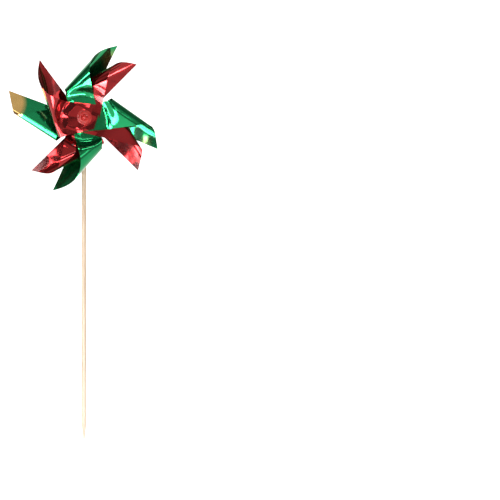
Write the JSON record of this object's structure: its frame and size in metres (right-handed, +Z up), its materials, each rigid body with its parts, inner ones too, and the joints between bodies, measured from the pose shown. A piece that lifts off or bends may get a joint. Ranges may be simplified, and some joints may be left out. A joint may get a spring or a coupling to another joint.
{
  "type": "foil pinwheel on a wooden skewer",
  "caption": "Pinwheel: two layered squares of curled mirror foil that spin on a wire axle through the top of a pointed wooden skewer.",
  "frame": {"origin": "point of the skewer, on its axis", "axes": "+Z up the skewer, -Y towards the viewer of the pinwheel's face, along the axle"},
  "size_m": [0.0894, 0.0338, 0.2374],
  "materials": {
    "birch": "dry sanded",
    "wire": "drawn",
    "bead": "milky",
    "sleeve": "milky",
    "washer": "glossy",
    "cap": "glossy",
    "green_film": "metallised mirror film",
    "red_film": "metallised mirror film"
  },
  "bodies": {
    "holder": {"stick": "birch", "axle_wire": "wire", "hub_cap": "cap"},
    "rotor": {"red_foil": "red_film", "green_foil": "green_film", "hub_sleeve": "sleeve", "front_washer": "washer"},
    "bead": {"rear_bead": "bead"}
  },
  "joints": [
    {"name": "rotor_spin", "type": "hinge", "parent": "holder", "child": "rotor", "pos_m": [0, -0.0068, 0.194], "axis": [0, -1, 0], "continuous": true},
    {"name": "bead_spin", "type": "hinge", "parent": "holder", "child": "bead", "pos_m": [0, -0.0035, 0.194], "axis": [0, -1, 0], "continuous": true}
  ]
}
